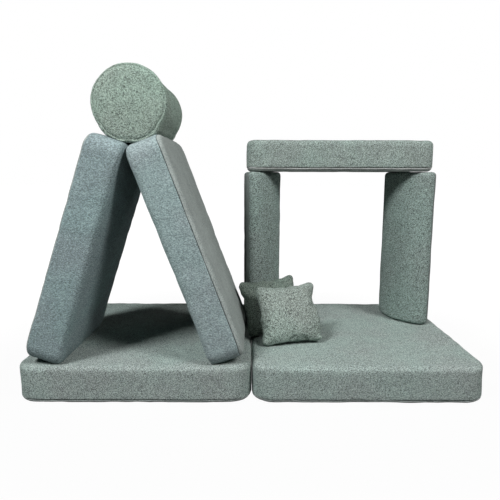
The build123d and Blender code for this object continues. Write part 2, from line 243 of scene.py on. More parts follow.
def centres(points, quads):
    """Middle of each quad."""
    return points[np.array(quads)].mean(1)


def numbers(mask):
    """Places of the true values of a mask, as plain whole numbers."""
    return np.flatnonzero(mask).tolist()


# Meshes and objects
SHARP_FOLD = math.radians(50)


def link(name, mesh, material):
    """An object of a mesh, smooth but for its sharp folds."""
    piece = bpy.data.objects.new(name, mesh)
    bpy.context.scene.collection.objects.link(piece)
    mesh.materials.append(material)
    for polygon in mesh.polygons:
        polygon.use_smooth = True
    mesh.set_sharp_from_angle(angle=SHARP_FOLD)
    return piece


def slot_floor(bm, faces):
    """Parts faces from a form as the floor of its zip slot, walled in, and gives their points."""
    made = bmesh.ops.extrude_face_region(bm, geom=faces)
    bmesh.ops.delete(bm, geom=faces, context="FACES_ONLY")
    return [g for g in made["geom"] if isinstance(g, bmesh.types.BMVert)]


def placed_mesh(name, bm, place):
    """A mesh of a form, brought to its place."""
    bmesh.ops.recalc_face_normals(bm, faces=bm.faces)
    bm.transform(place)
    mesh = bpy.data.meshes.new(name)
    bm.to_mesh(mesh)
    bm.free()
    return mesh


def part_of(name, points, quads, chosen, material, place, sewn, slot_faces=(), slot_way=None):
    """A closed piece from some of a form's faces.

    Its open edge is filled, its faces beside the seam get painted shade, and its zip slot is sunk.
    """
    bm = bmesh.new()
    used = sorted({v for f in chosen for v in quads[f]})
    verts = {v: bm.verts.new(points[v]) for v in used}
    faces = {f: bm.faces.new([verts[v] for v in quads[f]]) for f in chosen}
    # Faces beside the seam take the second slot, the painted shade of the seam's furrow
    for f in sewn:
        if f in faces:
            faces[f].material_index = 1
    bmesh.ops.edgeloop_fill(bm, edges=[e for e in bm.edges if e.is_boundary])
    if slot_faces:
        floor_points = slot_floor(bm, [faces[f] for f in slot_faces])
        bmesh.ops.translate(bm, verts=floor_points, vec=Vector(slot_way) * POCKET)
    mesh = placed_mesh(name, bm, place)
    piece = link(name, mesh, material)
    # The second slot is the painted seam shade
    mesh.materials.append(painted_seam_shade)
    return piece


def finish_piece(piece, body, nodes):
    """Says what a piece rides on, and hides the frame's parts that it stands for."""
    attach(piece, body)
    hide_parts(*nodes)


# Materials
def node_material(name):
    """An empty node material with its shader."""
    material = bpy.data.materials.new(name)
    material.use_nodes = True
    tree = material.node_tree
    shader = tree.nodes["Principled BSDF"]
    coords = tree.nodes.new("ShaderNodeTexCoord").outputs["Object"]
    return material, tree, shader, coords


def node(tree, kind, links=(), **values):
    """A node with its settings, its input values by name or number, and its links."""
    made = tree.nodes.new(kind)
    for key, value in values.items():
        if key.startswith("in_"):
            label = key[3:].replace("_", " ")
            made.inputs[int(label) if label.isdigit() else label].default_value = value
        else:
            setattr(made, key, value)
    for key, source in dict(links).items():
        tree.links.new(source, made.inputs[key])
    return made


def maths(tree, operation, *terms, use_clamp=False):
    """Result of a sum or product of other nodes' outputs and plain numbers."""
    made = node(tree, "ShaderNodeMath", operation=operation, use_clamp=use_clamp)
    for place, term in enumerate(terms):
        if isinstance(term, float):
            made.inputs[place].default_value = term
        else:
            tree.links.new(term, made.inputs[place])
    return made.outputs[0]


def noise(tree, coords, scale, detail, roughness=0.5):
    """Outputs of a noise texture."""
    return node(
        tree, "ShaderNodeTexNoise", {"Vector": coords},
        in_Scale=scale, in_Detail=detail, in_Roughness=roughness,
    ).outputs


def ramp(tree, source, stops):
    """A colour ramp with its stops."""
    made = node(tree, "ShaderNodeValToRGB", {"Fac": source})
    elements = made.color_ramp.elements
    while len(elements) < len(stops):
        elements.new(0.5)
    for element, (position, colour) in zip(elements, stops):
        element.position = position
        element.color = (*colour, 1)
    return made.outputs["Color"]


def raised(tree, shader, height, strength, distance):
    """Gives a shader's surface a fine relief."""
    bump = node(
        tree, "ShaderNodeBump", {"Height": height}, in_Strength=strength, in_Distance=distance
    )
    tree.links.new(bump.outputs["Normal"], shader.inputs["Normal"])


# Boucle: its lightest loops and darkest gaps against its mean, and the scales of its features
LOOP_LIGHT, GAP_DARK = 0.58, 0.74
LOOPS, CURLS, WOBBLE, PATCHES, TONES = 250.0, 310.0, 130.0, 34.0, 5.0
# Smooth weave: its darkest and lightest threads against its mean, and the scales of its features
THREAD_DARK, THREAD_LIGHT = 0.62, 1.36
THREADS, GRAINS, RUBBED_PATCHES = 190.0, 230.0, 14.0


def boucle(name, mean, stretch=(1.0, 1.0, 1.0), gaps=0.5, contrast=1.0):
    """Looped boucle fabric: pale curly loops with small dark gaps, uneven tone, soft sheen."""
    material, tree, shader, coords = node_material(name)
    light = tuple(c * (1 + LOOP_LIGHT * contrast) for c in mean)
    dark = tuple(c * (1 - GAP_DARK * contrast) for c in mean)
    drawn = node(tree, "ShaderNodeMapping", {"Vector": coords}, in_Scale=stretch).outputs["Vector"]
    wobble = noise(tree, coords, WOBBLE, 2.0)["Color"]
    bent = node(
        tree, "ShaderNodeMix", {6: drawn, 7: wobble}, data_type="RGBA", in_0=0.008
    ).outputs[2]
    cells = node(
        tree, "ShaderNodeTexVoronoi", {"Vector": bent}, feature="DISTANCE_TO_EDGE", in_Scale=LOOPS
    ).outputs["Distance"]
    loops = node(
        tree, "ShaderNodeMapRange", {"Value": cells},
        interpolation_type="SMOOTHSTEP", in_1=0.0, in_2=0.20,
    ).outputs[0]
    curl = noise(tree, bent, CURLS, 1.0)["Fac"]
    patches = noise(tree, coords, PATCHES, 4.0, 0.65)["Fac"]
    broad = noise(tree, coords, TONES, 2.0)["Fac"]
    uneven = maths(tree, "ADD", patches, broad)
    shift = maths(tree, "MULTIPLY_ADD", uneven, 0.26, -1.28)
    fuzz = maths(tree, "MULTIPLY_ADD", curl, 2.25, shift)
    tone = maths(tree, "MULTIPLY_ADD", loops, gaps, fuzz, use_clamp=True)
    colour = ramp(tree, tone, [(0.0, dark), (0.5, mean), (1.0, light)])
    tint = ramp(tree, broad, [(0.38, (1.015, 0.995, 1.0)), (0.62, (0.955, 1.0, 0.985))])
    tinted = node(
        tree, "ShaderNodeMix", {6: colour, 7: tint},
        data_type="RGBA", blend_type="MULTIPLY", in_0=1.0,
    ).outputs[2]
    tree.links.new(tinted, shader.inputs["Base Color"])
    raised(tree, shader, maths(tree, "ADD", loops, curl), 0.45, 0.002)
    shader.inputs["Roughness"].default_value = 0.95
    shader.inputs["Specular IOR Level"].default_value = 0.12
    shader.inputs["Sheen Weight"].default_value = 0.05
    shader.inputs["Sheen Roughness"].default_value = 0.5
    shader.inputs["Sheen Tint"].default_value = (*light, 1)
    return material


def smooth_weave(name, mean):
    """Smooth woven lining fabric: a fine plain weave with a grain and faint rubbed patches."""
    material, tree, shader, coords = node_material(name)
    weave = [
        node(
            tree, "ShaderNodeTexWave", {"Vector": coords}, wave_type="BANDS", bands_direction=way,
            in_Scale=THREADS, in_Distortion=1.2, in_Detail=1.0,
        ).outputs["Fac"]
        for way in ("X", "Y", "Z")
    ]
    cross = maths(tree, "ADD", maths(tree, "ADD", weave[0], weave[1]), weave[2])
    rubbed = noise(tree, coords, RUBBED_PATCHES, 4.0, 0.6)["Fac"]
    rubbed = maths(tree, "MULTIPLY", rubbed, 0.35)
    soft = maths(tree, "MULTIPLY_ADD", cross, 0.05, rubbed)
    grain = noise(tree, coords, GRAINS, 2.0)["Fac"]
    tone = maths(tree, "SUBTRACT", maths(tree, "MULTIPLY_ADD", grain, 1.1, soft), 0.30)
    dark = tuple(c * THREAD_DARK for c in mean)
    light = tuple(c * THREAD_LIGHT for c in mean)
    colour = ramp(tree, tone, [(0.22, dark), (0.78, light)])
    tree.links.new(colour, shader.inputs["Base Color"])
    raised(tree, shader, cross, 0.15, 0.0003)
    shader.inputs["Roughness"].default_value = 0.82
    shader.inputs["Specular IOR Level"].default_value = 0.12
    shader.inputs["Sheen Weight"].default_value = 0.04
    return material


def speckled(name, dark, light, scale, roughness, depth):
    """Plain material with a fine grain, for foam, the painted shade in seams, tape and slider."""
    material, tree, shader, coords = node_material(name)
    grain = noise(tree, coords, scale, 4.0)["Fac"]
    colour = ramp(tree, grain, [(0.35, dark), (0.65, light)])
    tree.links.new(colour, shader.inputs["Base Color"])
    raised(tree, shader, grain, 0.4, depth)
    shader.inputs["Roughness"].default_value = roughness
    return material


# The lie of the fabric's loops differs from piece to piece, as photographed, and so does its tone.
# Some tones are painted shade and light: darker copies for the left leaning cushion, rear pillow
# and half rounds' panels; lighter ones for the right leaning cushion and the lintel's panel
MAT_LOOPS = (1.22, 1.22, 1.22)
LEVEL_ROWS = (0.62, 0.62, 1.35)
DOOR_LOOPS = (0.85, 0.85, 1.10)
ROLL_LOOPS = (1.32, 1.32, 1.32)
POST_LOOPS = (0.70, 0.70, 1.0)
boucle_mat = boucle("boucle_mat", (0.378, 0.443, 0.416), MAT_LOOPS)
# Painted shade and light: the left leaning cushion is a darker and the right a lighter copy of one
# boucle
boucle_left_shaded = boucle("boucle_left_shaded", (0.316, 0.404, 0.410), LEVEL_ROWS, 0.35, 0.72)
boucle_right_lit = boucle("boucle_right_lit", (0.368, 0.456, 0.458), LEVEL_ROWS, 0.35, 0.66)
boucle_door = boucle("boucle_door", (0.332, 0.400, 0.366), DOOR_LOOPS, 0.45, 0.92)
boucle_roll = boucle("boucle_roll", (0.326, 0.408, 0.350), ROLL_LOOPS, 0.6, 1.24)
boucle_post = boucle("boucle_post", (0.262, 0.322, 0.298), POST_LOOPS, 0.6)
boucle_pillow = boucle("boucle_pillow", (0.296, 0.348, 0.314), gaps=0.6, contrast=1.18)
# Painted shade: the rear pillow's boucle is a darker copy of the front pillow's
boucle_rear_shaded = boucle("boucle_rear_shaded", (0.180, 0.224, 0.192), gaps=0.6, contrast=1.10)
smooth_fabric = smooth_weave("smooth_fabric", (0.325, 0.362, 0.345))
# Painted shade: the half rounds' flat panels are a darker copy of the smooth lining
smooth_post_shaded = smooth_weave("smooth_post_shaded", (0.190, 0.218, 0.206))
# Painted light: the lintel's underside panel is a lighter copy of the smooth lining
smooth_lintel_lit = smooth_weave("smooth_lintel_lit", (0.425, 0.445, 0.430))
foam_material = speckled("foam", (0.62, 0.57, 0.42), (0.80, 0.76, 0.62), 300.0, 0.95, 0.001)
# Near-black painted shade for the faces in the seams' furrows
painted_seam_shade = speckled(
    "painted_seam_shade", (0.030, 0.038, 0.036), (0.065, 0.080, 0.075), 700.0, 0.95, 0.0002
)
tape_material = speckled("zip_tape", (0.09, 0.11, 0.105), (0.15, 0.18, 0.17), 900.0, 0.8, 0.0003)
slider_material = speckled(
    "zip_slider", (0.07, 0.08, 0.078), (0.12, 0.13, 0.128), 400.0, 0.45, 0.0001
)


# Block cushions and half rounds: wavelengths and depths of their uneven skin, in metres
SKIN, SHALLOWEST, DEEPEST = 0.0010, 0.0001, 0.0042
BROAD_WAVE, BROAD_DEPTH = 0.28, 0.0006
DENT_WAVE, DENT_DEPTH = 0.09, 0.0005
PUCKER_WAVE, PUCKER_REACH, PUCKER_SHARE = 0.022, 0.02, 0.11
# Creases across a leaning cushion: place along it, slope and depth
CREASES = (
    (-0.16, 0.02, 0.0012), (-0.075, -0.05, 0.0016), (-0.03, 0.04, 0.0010), (0.11, -0.03, 0.0013),
)
CREASE_WIDTH, CREASE_WAVE, CREASE_WANDER = 0.014, 0.25, 0.006
# Seams: depth and width of the furrow, half width of the dark line of painted shade, and grid
# lines beside it
SEAM_DEPTH, FURROW_WIDTH, SEAM_WIDTH = 0.0036, 0.0020, 0.0016
SEAM_MARKS = (-0.006, -0.0034, -SEAM_WIDTH, 0.0, SEAM_WIDTH, 0.0034, 0.006)
NEAREST_MARK, FINEST_STEP = 0.0005, 0.0012
# Foot of a leaning cushion: gap kept above the mat, furthest drop, and how far up it gives
FOOT_GAP, FOOT_DROP, FOOT_REACH, FOOT_SHARE = 0.0004, 0.010, 0.050, 1.9
MAT_PITCH, PITCH = 0.0115, 0.0105


def groove(offset, width, depth):
    """Depth of a furrow at a distance from its line."""
    return depth * np.exp(-((offset / width) ** 2))


def seam_faces(seam_offset, quads):
    """Faces right beside a sewn seam, which get the painted seam shade."""
    return numbers(np.abs(seam_offset[np.array(quads)].mean(1)) < SEAM_WIDTH)


def soft_surface(points, normals, seam_offset, seed, creases=(), sewn=SEAM_DEPTH):
    """Foam cushion's uneven skin: it only gives inwards, so it stays in the frame's shape."""
    broad = waves(points, BROAD_WAVE, seed) * BROAD_DEPTH
    dents = waves(points, DENT_WAVE, seed + 1) * DENT_DEPTH
    beside_seam = np.exp(-np.abs(seam_offset) / PUCKER_REACH)
    pucker = waves(points, PUCKER_WAVE, seed + 2) * sewn * PUCKER_SHARE * beside_seam
    depth = np.clip(SKIN + broad + dents + pucker, SHALLOWEST, None)
    for place, slope, strength in creases:
        bend = waves(points, CREASE_WAVE, seed + 3) * CREASE_WANDER
        depth += groove(points[:, 0] - place - slope * points[:, 1] + bend, CREASE_WIDTH, strength)
    depth += groove(seam_offset, FURROW_WIDTH, sewn)
    depth = np.minimum(depth, DEEPEST)
    return points - normals * depth[:, None]


def stood(points, place):
    """Foot of a leaning cushion, which gives a little where it stands on a mat."""
    matrix = np.array(place)
    height = points @ matrix[2, :3] + matrix[2, 3] - FOAM_TOP
    share = np.clip(FOOT_SHARE - height / FOOT_REACH, 0, 1)
    drop = np.clip(height - FOOT_GAP, 0, FOOT_DROP) * share
    return points - drop[:, None] * matrix[2, :3]


def block_cushion(
    name, spec, material, seed, pitch=PITCH, seam=SEAM, sewn=SEAM_DEPTH, panel=smooth_fabric
):
    """Cover and base panel of a block cushion."""
    half_x, half_y = (s / 2 for s in spec["size"])
    zip_half, middle, edge = spec["zip"] / 2, FOAM / 2, spec["edge"]
    marks = [seam + m for m in SEAM_MARKS if seam + m > NEAREST_MARK]
    marks += [middle - ZIP_HALF_WIDTH, middle + ZIP_HALF_WIDTH]
    marks += [
        z for z in edge_lines(0, FOAM, edge) if min(abs(z - m) for m in marks) > FINEST_STEP
    ]
    along_marks = (-zip_half, zip_half, *edge_lines(-half_x, half_x, edge))
    points, quads = box_grid(
        grid_lines(-half_x, half_x, pitch, along_marks),
        grid_lines(-half_y, half_y, pitch, edge_lines(-half_y, half_y, edge)),
        grid_lines(0, FOAM, pitch, marks),
    )
    raw = centres(points, quads)
    below = raw[:, 2] < seam
    inwards = np.minimum(half_x - np.abs(points[:, 0]), half_y - np.abs(points[:, 1]))
    seam_offset = points[:, 2] - seam - np.where(points[:, 2] < 1e-9, inwards, 0)
    in_slot = (
        (raw[:, 1] > half_y - 1e-6)
        & (np.abs(raw[:, 0]) < zip_half)
        & (np.abs(raw[:, 2] - middle) < ZIP_HALF_WIDTH)
    )
    flat_points, normals = settle(block_distance(spec), points)
    creases = CREASES if spec is TENT else ()
    soft = soft_surface(flat_points, normals, seam_offset, seed, creases, sewn)
    place = PLACES[name]
    if spec is TENT:
        soft = stood(soft, place)
    shaded_seam_faces = seam_faces(seam_offset, quads)
    cover = part_of(
        name + "_boucle", soft, quads, numbers(~below), material, place, shaded_seam_faces,
        numbers(in_slot), (0, -1, 0),
    )
    finish_piece(cover, name, [name + "_cover"])
    base = part_of(name + "_panel", soft, quads, numbers(below), panel, place, shaded_seam_faces)
    finish_piece(base, name, [name + "_base"])


def half_round(name, seed, slant=0.0, seam=POST_SEAM):
    """Cover and flat panel of a half round, its flat face a little out of square by the slant."""
    height, half, bulge = POST["height"], POST["chord"] / 2, POST["bulge"]
    zip_half, middle = POST["zip"] / 2, height / 2
    seam_marks = [m - seam for m in SEAM_MARKS if m - seam < -NEAREST_MARK]
    points, quads = box_grid(
        grid_lines(-bulge, 0, PITCH, seam_marks),
        grid_lines(-half, half, PITCH, (-ZIP_HALF_WIDTH, ZIP_HALF_WIDTH)),
        grid_lines(0, height, PITCH, (middle - zip_half, middle + zip_half)),
    )
    raw = centres(points, quads)
    flat_side = raw[:, 0] > -seam
    inwards = half - np.abs(points[:, 1])
    seam_offset = points[:, 0] + seam + np.where(points[:, 0] > -1e-9, inwards, 0)
    in_slot = (
        (raw[:, 0] > -1e-6)
        & (np.abs(raw[:, 1]) < ZIP_HALF_WIDTH)
        & (np.abs(raw[:, 2] - middle) < zip_half)
    )
    flat_points, normals = settle(post_distance, points, 12)
    soft = soft_surface(flat_points, normals, seam_offset, seed)
    soft[:, 0] -= soft[:, 1] * slant
    place = PLACES[name]
    shaded_seam_faces = seam_faces(seam_offset, quads)
    cover = part_of(
        name + "_boucle", soft, quads, numbers(~flat_side), boucle_post, place, shaded_seam_faces
    )
    finish_piece(cover, name, [name + "_cover"])
    base = part_of(
        name + "_panel", soft, quads, numbers(flat_side), smooth_post_shaded, place, shaded_seam_faces,
        numbers(in_slot), (-1, 0, 0),
    )
    finish_piece(base, name, [name + "_base"])


# On the two left pieces the boucle reaches right to the edge, so their seams lie at it
EDGE_SEAM, EDGE_SEAM_DEPTH = 0.0002, 0.0012
POST_EDGE_SEAM, POST_SLANT = 0.0006, 0.008
block_cushion("base_mat_left", MAT, boucle_mat, 11, MAT_PITCH)
block_cushion("base_mat_right", MAT, boucle_mat, 23, MAT_PITCH)
block_cushion(
    "tent_cushion_left", TENT, boucle_left_shaded, 37, seam=EDGE_SEAM, sewn=EDGE_SEAM_DEPTH
)
block_cushion("tent_cushion_right", TENT, boucle_right_lit, 41)
block_cushion("lintel_cushion", LINTEL, boucle_door, 53, panel=smooth_lintel_lit)
half_round("half_round_left", 67, POST_SLANT, POST_EDGE_SEAM)
half_round("half_round_right", 71)


# Roll: turned about its axis, with a sewn rim round each end
ROLL_PITCH, ROLL_TURN = 0.0095, 0.066
BARREL_INSET, TIP_INSET = 0.0012, 0.0002
END_RINGS, DOME_POWER = np.linspace(0.06, 0.86, 12), 0.8
# Its rim from the end's dip over the sewn ridge: inset from the radius, and drop from the edge
ROLL_LIP = (
    (0.0150, -0.0002),
    (0.0125, 0.0008),
    (0.0105, 0.0031),
    (0.0088, 0.0015),
    (0.0060, 0.0020),
    (0.0030, 0.0038),
    (0.0012, 0.0066),
    (0.0006, 0.0095),
    (0.0012, 0.0118),
    (0.0034, 0.0134),
    (0.0018, 0.0156),
    (0.0013, 0.0185),
)
LIP_LENGTH, RIM_DROP, FLAT_END = 0.026, 0.0045, 0.002
# Its uneven skin: wavelengths and depths, and the reach of the puckers beside the rims
ROLL_SKIN, ROLL_DEEPEST, ROLL_SAG = 0.0009, 0.0046, 0.0030
ROLL_BROAD_WAVE, ROLL_BROAD_DEPTH = 0.2, 0.0005
ROLL_DENT_WAVE, ROLL_DENT_DEPTH = 0.07, 0.0004
ROLL_PUCKER_WAVE, ROLL_PUCKER_DEPTH, ROLL_PUCKER_REACH = 0.018, 0.0004, 0.012
# Where it lies on the leaning cushions: gap kept, furthest give, and how far round it gives
REST_GAP, REST_GIVE, REST_REACH, REST_SHARE = 0.0007, 0.009, 0.024, 1.25
# How far beside and past its zip it keeps its shape, and over what run the give sets in
ZIP_TURN, ZIP_TURN_RUN, ZIP_PAST, ZIP_PAST_RUN = 0.08, 0.12, 0.004, 0.03


def roll_profile():
    """Radius and height of the roll's rings, from end to end."""
    radius, waist, crown = ROLL["radius"], ROLL["waist"], ROLL["crown"]
    edge = ROLL["length"] / 2 - crown
    barrel = radius - BARREL_INSET
    end = [(radius * s, edge + crown * (1 - s**2) ** DOME_POWER) for s in END_RINGS]
    lip = [(radius - inset, edge - drop) for inset, drop in ROLL_LIP]
    heights = grid_lines(0, edge - LIP_LENGTH, ROLL_PITCH, (ROLL["zip"] / 2,))
    side = [(barrel - waist * (1 - (z / edge) ** 4), z) for z in heights if z > 0][::-1]
    upper = end + lip + side
    return upper + [(barrel - waist, 0.0)] + [(r, -z) for r, z in reversed(upper)]


def roll_skin(points, seed):
    """The roll's surface with its dents, puckers at the rims, and a slight sag of its top."""
    edge = ROLL["length"] / 2 - ROLL["crown"]
    outward = points * np.array((1, 1, 0))
    outward /= np.maximum(np.linalg.norm(outward, axis=1, keepdims=True), 1e-6)
    flat_end = np.abs(points[:, 2]) > edge - FLAT_END
    outward[flat_end] = np.sign(points[flat_end][:, 2:3]) * np.array((0, 0, 1.0))
    from_rim = np.abs(np.abs(points[:, 2]) - edge + RIM_DROP)
    broad = waves(points, ROLL_BROAD_WAVE, seed) * ROLL_BROAD_DEPTH
    dents = waves(points, ROLL_DENT_WAVE, seed + 1) * ROLL_DENT_DEPTH
    beside_rim = np.exp(-from_rim / ROLL_PUCKER_REACH)
    depth = np.clip(ROLL_SKIN + broad + dents, 0, None)
    depth += waves(points, ROLL_PUCKER_WAVE, seed + 2) * ROLL_PUCKER_DEPTH * beside_rim
    upward = np.clip(outward @ np.array(PLACES["roll"])[2, :3], 0, 1)
    depth = np.clip(depth + ROLL_SAG * upward**1.5, 0, ROLL_DEEPEST)
    return points - outward * depth[:, None]


def roll_rested(points):
    """The roll's cover gives over the leaning cushions, but keeps its shape beside its zip."""
    place = np.array(PLACES["roll"])
    away = np.full(len(points), 1.0)
    for carrier in ("tent_cushion_left", "tent_cushion_right"):
        to_carrier = np.array(PLACES[carrier].inverted()) @ place
        on_carrier = points @ to_carrier[:3, :3].T + to_carrier[:3, 3]
        away = np.minimum(away, block_distance(TENT)(on_carrier))
    share = np.clip(REST_SHARE - away / REST_REACH, 0, 1)
    give = np.clip(away - REST_GAP, 0, REST_GIVE) * share
    turn = np.abs(np.arctan2(points[:, 1], points[:, 0]))
    beside_zip = np.clip((turn - ZIP_TURN) / ZIP_TURN_RUN, 0, 1)
    past_end = np.abs(points[:, 2]) - ROLL["zip"] / 2 - ZIP_PAST
    past_zip = np.clip(past_end / ZIP_PAST_RUN, 0, 1)
    give *= np.maximum(beside_zip, past_zip)
    outward = points * np.array((1, 1, 0))
    length = np.linalg.norm(outward, axis=1, keepdims=True)
    outward /= np.maximum(length, ROLL["radius"] * 0.5)
    return points + outward * give[:, None]


def roll_cushion(name, seed):
    """Cover of the roll."""
    profile = roll_profile()
    slot_turn = math.asin(ZIP_HALF_WIDTH / (ROLL["radius"] - ROLL["waist"]))
    turns = grid_lines(-math.pi, math.pi, ROLL_TURN, (-slot_turn, slot_turn))[:-1]
    tip = ROLL["length"] / 2 - TIP_INSET
    points = np.array(
        [(r * math.cos(a), r * math.sin(a), z) for r, z in profile for a in turns]
        + [(0, 0, tip), (0, 0, -tip)]
    )
    count, rows = len(turns), len(profile)
    quads, slot_faces = [], []
    for row in range(rows - 1):
        height = (profile[row][1] + profile[row + 1][1]) / 2
        for k in range(count):
            n = (k + 1) % count
            turn = (turns[k] + turns[n]) / 2
            if n and abs(height) < ROLL["zip"] / 2 and abs(turn) < slot_turn:
                slot_faces.append(len(quads))
            below, above = (row + 1) * count, row * count
            quads.append([below + k, below + n, above + n, above + k])
    points = roll_rested(roll_skin(points, seed))
    bm = bmesh.new()
    verts = [bm.verts.new(p) for p in points]
    faces = [bm.faces.new([verts[v] for v in quad]) for quad in quads]
    last = (rows - 1) * count
    for k in range(count):
        n = (k + 1) % count
        bm.faces.new([verts[k], verts[n], verts[rows * count]])
        bm.faces.new([verts[last + n], verts[last + k], verts[rows * count + 1]])
    floor_points = slot_floor(bm, [faces[f] for f in slot_faces])
    bmesh.ops.translate(bm, verts=floor_points, vec=(-POCKET, 0, 0))
    mesh = placed_mesh(name + "_boucle", bm, PLACES[name])
    cover = link(name + "_boucle", mesh, boucle_roll)
    finish_piece(cover, name, [name + "_cover"])


roll_cushion("roll", 83)


# Pillows: two square sheets sewn to a narrow edge band, blown up by a cloth simulation
BAG_PITCH, BAG_SLACK = 0.0052, 1.06
PUFF, WRINKLE_WAVE, WRINKLE = 0.022, 0.05, 0.0012  # the bag's form before it is blown up
PRESSURE, FRAMES = 6.0, 24
EAR = 0.17  # share of half a side that an ear's rounding takes
FLARE_START, FLARE_LENGTH = 0.35, 0.55  # where a side turns out towards its ears
EAR_MIDDLE, EAR_SPREAD, EAR_PUFF, EAR_EDGE_PUFF = 0.92, 0.014, 0.0075, 0.0030
SEAM_TUCK = 0.986
LIP_PLACE, LIP_SPREAD, LIP_HEIGHT, LIP_RUN = 0.955, 0.03, 0.0022, 0.008
RIM = 0.999  # a grid place beyond this lies on the edge band


def inflated(piece, pressure, frames):
    """Points of a bag after its cloth simulation."""
    cloth = piece.modifiers.new("fill", "CLOTH")
    settings = cloth.settings
    settings.quality = 7
    settings.mass = 0.15
    settings.tension_stiffness = 30
    settings.compression_stiffness = 12
    settings.shear_stiffness = 6
    settings.bending_stiffness = 0.15
    settings.use_pressure = True
    settings.uniform_pressure_force = pressure
    settings.effector_weights.gravity = 0
    cloth.point_cache.frame_start = 1
    cloth.point_cache.frame_end = frames
    scene = bpy.context.scene
    for number in range(1, frames + 1):
        scene.frame_set(number)
    graph = bpy.context.evaluated_depsgraph_get()
    points = np.array([v.co[:] for v in piece.evaluated_get(graph).data.vertices])
    piece.modifiers.remove(cloth)
    scene.frame_set(1)
    return points


def side_reach(shaped, along, across, axis, low, high):
    """Factors that bring a bag's drawn-in sides to the pillow's own outline."""
    factor = np.ones(len(shaped))
    for sign, ear in ((-1, low), (1, high)):
        rim = np.flatnonzero(across * sign > RIM)
        found = np.polyval(np.polyfit(along[rim], np.abs(shaped[rim, axis]), 6), along)
        flare = np.clip((np.abs(along) - FLARE_START) / FLARE_LENGTH, 0, 1)
        wanted = PILLOW["middle"] + (ear - PILLOW["middle"]) * flare**2 * (3 - 2 * flare)
        half = across * sign > 0
        factor[half] = (wanted / found)[half]
    return factor


def bag(name, seed):
    """Points of a pillow's bag, blown up, with their grid places, its faces and its zip's."""
    side, band = PILLOW["side"] * BAG_SLACK / 2, PILLOW["band"] / 2
    zip_half = PILLOW["zip"] / 2 * BAG_SLACK
    points, quads = box_grid(
        grid_lines(-side, side, BAG_PITCH, (-zip_half, zip_half)),
        grid_lines(-side, side, BAG_PITCH),
        (-band, 0, band),
    )
    raw = centres(points, quads)
    slot_faces = numbers((raw[:, 1] < -side + 1e-6) & (np.abs(raw[:, 0]) < zip_half))
    u, v, face = points[:, 0] / side, points[:, 1] / side, np.sign(points[:, 2])
    puff = np.clip(1 - u**2, 0, 1) ** 0.6 * np.clip(1 - v**2, 0, 1) ** 0.6
    wrinkles = waves(points, WRINKLE_WAVE, seed) * WRINKLE * puff
    points[:, 2] += face * (puff * PUFF + wrinkles)
    mesh = bpy.data.meshes.new(name)
    mesh.from_pydata(points, [], quads)
    sewn_bag = bpy.data.objects.new(name, mesh)
    bpy.context.scene.collection.objects.link(sewn_bag)
    points = inflated(sewn_bag, PRESSURE, FRAMES)
    bpy.data.objects.remove(sewn_bag)
    return points, quads, slot_faces, u, v, face


def pillow_form(shaped, u, v, face):
    """A bag brought to the pillow's outline and thickness, with round puffed ears."""
    band, zip_half = PILLOW["band"] / 2, PILLOW["zip"] / 2 * BAG_SLACK
    shaped = shaped - (shaped.max(0) + shaped.min(0)) / 2
    side_ear, top_ear, foot_ear = PILLOW["ears"]
    wide = side_reach(shaped, v, u, 0, side_ear, side_ear)
    high = side_reach(shaped, u, v, 1, foot_ear, top_ear)
    thick = np.full(len(u), PILLOW["thick"] * 0.98 / np.ptp(shaped[:, 2]))
    shaped *= np.stack((wide, high, thick), 1)
    from_ear = (EAR_MIDDLE - np.abs(u)) ** 2 + (EAR_MIDDLE - np.abs(v)) ** 2
    corner = np.exp(-from_ear / EAR_SPREAD)
    past_u = np.clip((np.abs(u) - 1 + EAR) / EAR, 0, 1)
    past_v = np.clip((np.abs(v) - 1 + EAR) / EAR, 0, 1)
    for axis, past, other in ((0, past_u, past_v), (1, past_v, past_u)):
        drawn = past * (1 - np.sqrt(1 - other**2 / 2)) * EAR * side_ear
        shaped[:, axis] -= np.sign(shaped[:, axis]) * drawn
    edge = (np.abs(u) > RIM) | (np.abs(v) > RIM)
    shaped[edge, 2] = face[edge] * band
    shaped[:, 2] += face * corner * np.where(edge, EAR_EDGE_PUFF, EAR_PUFF)
    shaped[edge & (face == 0), :2] *= SEAM_TUCK
    at_zip = np.clip((zip_half - np.abs(shaped[:, 0])) / LIP_RUN, 0, 1)
    rim = v < -RIM
    shaped[rim, 1] += (-PILLOW["middle"] - shaped[rim, 1]) * at_zip[rim]
    lip = at_zip * np.exp(-(((v + LIP_PLACE) / LIP_SPREAD) ** 2)) * (face > 0)
    shaped[:, 2] += lip * LIP_HEIGHT
    return shaped


def pillow(name, seed, material):
    """Cover of a pillow, with its zip slot in the bottom edge."""
    points, quads, slot_faces, u, v, face = bag(name, seed)
    mesh = bpy.data.meshes.new(name)
    mesh.from_pydata(pillow_form(points, u, v, face), [], quads)
    for _ in range(2):  # the second slot only marks the zip's faces through the smoothing
        mesh.materials.append(material)
    for f in slot_faces:
        mesh.polygons[f].material_index = 1
    coarse = bpy.data.objects.new(name + "_coarse", mesh)
    bpy.context.scene.collection.objects.link(coarse)
    smoother = coarse.modifiers.new("smooth", "SUBSURF")
    smoother.levels = smoother.render_levels = 1
    bm = bmesh.new()
    bm.from_object(coarse, bpy.context.evaluated_depsgraph_get())
    bpy.data.objects.remove(coarse)
    for vert in slot_floor(bm, [f for f in bm.faces if f.material_index == 1]):
        vert.co.y = PILLOW["pocket"]
    for bm_face in bm.faces:
        bm_face.material_index = 0
    bm.transform(PLACES[name])
    for vert in bm.verts:
        vert.co.z = max(vert.co.z, FOAM_TOP)
    finer = placed_mesh(name + "_boucle", bm, Matrix.Identity(4))
    cover = link(name + "_boucle", finer, material)
    finish_piece(cover, name, [name + "_cover", name + "_fill"])


pillow("pillow_front", 97, boucle_pillow)
pillow("pillow_rear", 101, boucle_rear_shaded)

